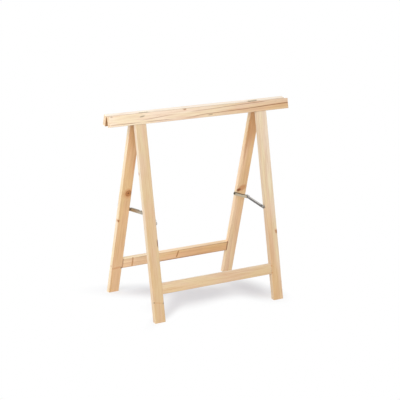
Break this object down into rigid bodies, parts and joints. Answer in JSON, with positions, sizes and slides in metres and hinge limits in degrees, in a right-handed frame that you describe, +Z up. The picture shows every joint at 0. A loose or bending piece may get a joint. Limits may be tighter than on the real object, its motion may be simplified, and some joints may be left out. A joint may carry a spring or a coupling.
{
  "type": "folding wooden trestle",
  "caption": "Folding trestle of planed battens: two leaning frames hinged along the top rails and held open by folding steel stays, to carry a board or table top.",
  "frame": {"origin": "on the floor, under the middle of the open trestle", "axes": "+X along the top rails, -Y towards the front frame's feet, +Z up"},
  "size_m": [0.775, 0.3882, 0.75],
  "materials": {
    "pine": "planed, bare",
    "beech": "turned, bare",
    "zinc_steel": "bright zinc plated, dulled",
    "hinge_steel": "zinc plated, dulled",
    "screw_steel": "yellow zinc plated, satin"
  },
  "bodies": {
    "front_frame": {"front_rail": "pine", "front_left_leg": "pine", "front_right_leg": "pine", "front_stretcher": "pine", "front_left_leg_inner_dowel": "beech", "front_left_leg_outer_dowel": "beech", "front_right_leg_inner_dowel": "beech", "front_right_leg_outer_dowel": "beech", "front_stretcher_left_lower_dowel": "beech", "front_stretcher_left_upper_dowel": "beech", "front_stretcher_right_lower_dowel": "beech", "front_stretcher_right_upper_dowel": "beech", "left_hinge_front_leaf": "hinge_steel", "left_hinge_pin": "screw_steel", "left_hinge_front_left_screw": "screw_steel", "left_hinge_front_right_screw": "screw_steel", "right_hinge_front_leaf": "hinge_steel", "right_hinge_pin": "screw_steel", "right_hinge_front_left_screw": "screw_steel", "right_hinge_front_right_screw": "screw_steel", "left_stay_front_screw": "screw_steel", "left_stay_front_washer": "zinc_steel", "right_stay_front_screw": "screw_steel", "right_stay_front_washer": "zinc_steel"},
    "rear_frame": {"rear_rail": "pine", "rear_left_leg": "pine", "rear_right_leg": "pine", "rear_stretcher": "pine", "rear_left_leg_inner_dowel": "beech", "rear_left_leg_outer_dowel": "beech", "rear_right_leg_inner_dowel": "beech", "rear_right_leg_outer_dowel": "beech", "rear_stretcher_left_lower_dowel": "beech", "rear_stretcher_left_upper_dowel": "beech", "rear_stretcher_right_lower_dowel": "beech", "rear_stretcher_right_upper_dowel": "beech", "left_hinge_rear_leaf": "hinge_steel", "left_hinge_rear_left_screw": "screw_steel", "left_hinge_rear_right_screw": "screw_steel", "right_hinge_rear_leaf": "hinge_steel", "right_hinge_rear_left_screw": "screw_steel", "right_hinge_rear_right_screw": "screw_steel", "left_stay_rear_screw": "screw_steel", "left_stay_rear_washer": "zinc_steel", "right_stay_rear_screw": "screw_steel", "right_stay_rear_washer": "zinc_steel"},
    "left_front_arm": {"left_stay_front_arm": "zinc_steel", "left_stay_rivet_head": "zinc_steel"},
    "left_rear_arm": {"left_stay_rear_arm": "zinc_steel", "left_stay_rivet_tail": "zinc_steel"},
    "right_front_arm": {"right_stay_front_arm": "zinc_steel", "right_stay_rivet_head": "zinc_steel"},
    "right_rear_arm": {"right_stay_rear_arm": "zinc_steel", "right_stay_rivet_tail": "zinc_steel"}
  },
  "joints": [
    {"name": "frame_fold", "type": "hinge", "parent": "front_frame", "child": "rear_frame", "pos_m": [0, 0, 0.7476], "axis": [-1, 0, 0], "range_deg": [0, 26.2]},
    {"name": "left_front_arm_pivot", "type": "hinge", "parent": "front_frame", "child": "left_front_arm", "pos_m": [-0.23535, -0.1028, 0.35262], "axis": [1, 0, 0], "range_deg": [0, 64.4]},
    {"name": "left_rear_arm_pivot", "type": "hinge", "parent": "rear_frame", "child": "left_rear_arm", "pos_m": [-0.23715, 0.1028, 0.35262], "axis": [-1, 0, 0], "range_deg": [0, 64.4]},
    {"name": "right_front_arm_pivot", "type": "hinge", "parent": "front_frame", "child": "right_front_arm", "pos_m": [0.23535, -0.1028, 0.35262], "axis": [1, 0, 0], "range_deg": [0, 64.4]},
    {"name": "right_rear_arm_pivot", "type": "hinge", "parent": "rear_frame", "child": "right_rear_arm", "pos_m": [0.23715, 0.1028, 0.35262], "axis": [-1, 0, 0], "range_deg": [0, 64.4]}
  ],
  "couplings": [
    {"joint": "left_front_arm_pivot", "follows": "frame_fold", "ratio": 2.4566},
    {"joint": "left_rear_arm_pivot", "follows": "frame_fold", "ratio": 2.4566},
    {"joint": "right_front_arm_pivot", "follows": "frame_fold", "ratio": 2.4566},
    {"joint": "right_rear_arm_pivot", "follows": "frame_fold", "ratio": 2.4566}
  ]
}
